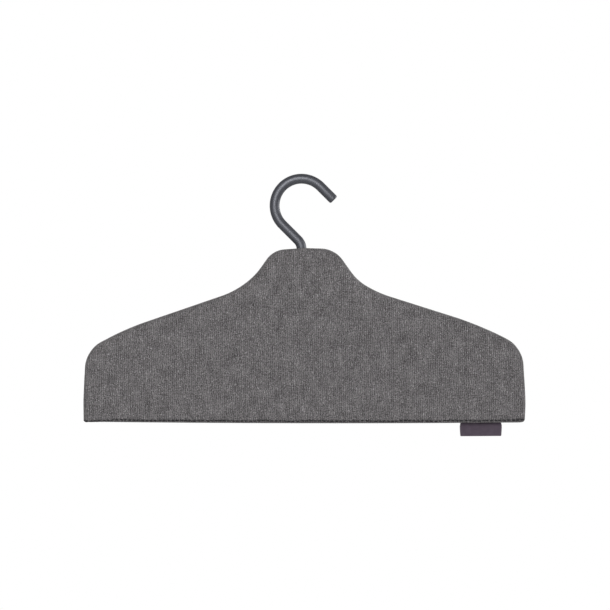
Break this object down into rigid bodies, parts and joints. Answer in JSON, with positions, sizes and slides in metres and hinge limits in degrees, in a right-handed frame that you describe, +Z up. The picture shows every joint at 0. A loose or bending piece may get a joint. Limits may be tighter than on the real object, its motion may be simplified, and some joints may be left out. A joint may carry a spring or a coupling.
{
  "type": "steaming hanger",
  "caption": "Padded cloth-covered hanger board that backs a garment while it is steamed, turning under a bent round-rod hook.",
  "frame": {"origin": "inside of the hook's crown, where a rail carries the hanger", "axes": "+Z up; -Y is the front, the side a garment is steamed on; +X is the side that the hook's tip points to"},
  "size_m": [0.4498, 0.0208, 0.2674],
  "materials": {
    "painted_steel": "dark grey satin powder coat",
    "acetal": "smooth natural acetal",
    "zinc": "zinc plated",
    "spring_steel": "dark oiled spring steel",
    "moulded_plastic": "dark moulded polypropylene, lightly grained",
    "foam": "needled felt",
    "cloth": "heathered dark grey woven melange cloth",
    "ribbon": "dense woven ribbon, bare"
  },
  "bodies": {
    "hook": {"hook": "painted_steel", "thrust_washer": "zinc", "retaining_clip": "spring_steel"},
    "board": {"upper_bush": "acetal", "lower_bush": "acetal", "front_shell": "moulded_plastic", "rear_shell": "moulded_plastic", "shell_screw_1": "zinc", "shell_screw_2": "zinc", "shell_screw_3": "zinc", "shell_screw_4": "zinc", "shell_screw_5": "zinc", "shell_screw_6": "zinc", "shell_screw_7": "zinc", "shell_screw_8": "zinc", "shell_screw_9": "zinc", "shell_screw_10": "zinc", "front_pad": "foam", "rear_pad": "foam", "cover_front": "cloth", "cover_rear": "cloth", "tuck_flap": "cloth", "label": "ribbon"}
  },
  "joints": [
    {"name": "hook_swivel", "type": "hinge", "parent": "hook", "child": "board", "pos_m": [0, 0, -0.07], "axis": [0, 0, 1], "continuous": true}
  ]
}
